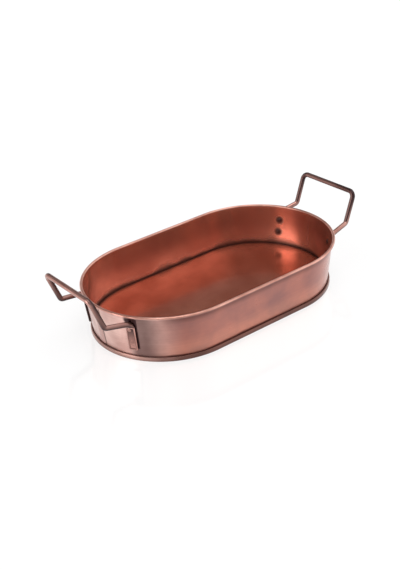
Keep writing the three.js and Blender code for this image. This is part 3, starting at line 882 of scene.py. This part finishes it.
for end, end_name in ((-1, "left"), (1, "right")):
    for side, side_name in ((-1, "front"), (1, "rear")):
        for level, (height, step) in RIVETS.items():
            node = f"rivet_{end_name}_{side_name}_{level}"
            shift = Matrix.Translation((end * side * step, 0, 0))
            place = on_wall(end, side, height, 0) @ shift @ outward
            placed = copy_piece(rivet, f"{node}_copper", place)
            # Painted shade: the rivets of the rear tabs are at least as dark as those tabs.
            if side > 0:
                for share in placed.data.attributes["patina_and_shade"].data:
                    share.value = max(share.value, REAR_TAB)
            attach(placed, "root")
            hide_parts(node)
bpy.data.objects.remove(rivet)

# Studio
# A polished white table top under white softboxes, seen from the side and a little above, as
# in the photograph. The table mirrors the tray faintly and keeps its soft shadow.
FLOOR_SIZE = 12
TABLE_GLOW = 0.74
TABLE_WHITE = 0.2
TABLE_GLOSS = 0.25
TABLE_ROUGHNESS = 0.1

bpy.ops.object.select_all(action="DESELECT")
bpy.ops.mesh.primitive_plane_add(size=FLOOR_SIZE, location=(0, 0, 0))
table = bpy.context.object
table.name = "table_top"
table_white, place = start_material("polished_white_table")
path = add(table_white, "ShaderNodeLightPath").node.outputs
seen = add(table_white, "ShaderNodeMath", {0: path["Is Camera Ray"], 1: path["Is Glossy Ray"]},
           operation="ADD")
shown = add(table_white, "ShaderNodeMath", {0: seen, 1: path["Is Transmission Ray"]},
            operation="ADD", use_clamp=True)
glow = add(table_white, "ShaderNodeMath", {0: shown, 1: TABLE_GLOW}, operation="MULTIPLY")
lit = add(table_white, "ShaderNodeBsdfDiffuse", {"Color": (TABLE_WHITE,) * 3 + (1,)})
glowing = add(table_white, "ShaderNodeEmission", {"Strength": glow})
white = add(table_white, "ShaderNodeAddShader", {0: lit, 1: glowing})
gloss = add(table_white, "ShaderNodeBsdfGlossy", {
    "Color": (TABLE_GLOSS,) * 3 + (1,), "Roughness": TABLE_ROUGHNESS,
})
surface = add(table_white, "ShaderNodeAddShader", {0: white, 1: gloss})
add(table_white, "ShaderNodeOutputMaterial", {"Surface": surface})
table.data.materials.append(table_white)

# The room is white at the horizon and dim above it. Three soft lamps stand in it: a wide one in
# front on the right, a low one on the left, and one overhead.
ROOM_GREY = 0.26
HORIZON_WHITE = math.sin(math.radians(11.5))
HORIZON_END = math.sin(math.radians(23.5))
LAMPS = [  # azimuth, elevation, half the bright width and the reach in degrees, and strength
    (62, 38, 22, 58, 1),
    (-97, 22, 11, 22, 3.8),
    (0, 85, 8, 26, 3.6),
]
room = bpy.data.worlds.new("studio_room")
bpy.context.scene.world = room
room.use_nodes = True
room.node_tree.nodes.clear()
direction = add(room, "ShaderNodeTexCoord")
rise = add(room, "ShaderNodeSeparateXYZ", {0: direction}, output="Z")
level = add(room, "ShaderNodeMapRange", {
    "Value": rise, "From Min": HORIZON_WHITE, "From Max": HORIZON_END,
    "To Min": 1, "To Max": ROOM_GREY,
}, interpolation_type="SMOOTHSTEP")
for azimuth, elevation, bright_width, reach, strength in LAMPS:
    around = Matrix.Rotation(math.radians(azimuth), 3, "Z")
    toward = around @ Matrix.Rotation(math.radians(90 - elevation), 3, "X") @ Vector((0, 0, 1))
    facing = add(room, "ShaderNodeVectorMath", {0: direction, 1: toward}, output="Value",
                 operation="DOT_PRODUCT")
    lamp = add(room, "ShaderNodeMapRange", {
        "Value": facing, "From Min": math.cos(math.radians(reach)),
        "From Max": math.cos(math.radians(bright_width)), "To Max": strength,
    }, interpolation_type="SMOOTHSTEP")
    level = add(room, "ShaderNodeMath", {0: level, 1: lamp}, operation="ADD")
sky = add(room, "ShaderNodeBackground", {"Color": linear("FFFFFF"), "Strength": level})
add(room, "ShaderNodeOutputWorld", {"Surface": sky})

VIEW_DISTANCE = 1040 * MM
VIEW_TURN = -36.51
VIEW_RISE = 28.69
VIEW_ROLL = -4.01
VIEW_CENTER = Vector((8.97, 32.64, 0)) * MM
SENSOR_WIDTH = 36
FOCAL_LENGTH = 91.62
turned = Matrix.Rotation(math.radians(VIEW_TURN), 3, "Z")
raised = Matrix.Rotation(math.radians(90 - VIEW_RISE), 3, "X")
rolled = Matrix.Rotation(math.radians(VIEW_ROLL), 3, "Z")
facing = turned @ raised @ rolled
back = facing @ Vector((0, 0, 1))
bpy.ops.object.camera_add(location=VIEW_CENTER + back * VIEW_DISTANCE, rotation=facing.to_euler())
camera = bpy.context.object
camera.data.sensor_fit = "HORIZONTAL"
camera.data.sensor_width = SENSOR_WIDTH
camera.data.lens = FOCAL_LENGTH
bpy.context.scene.camera = camera
bpy.context.scene.view_settings.view_transform = "Standard"
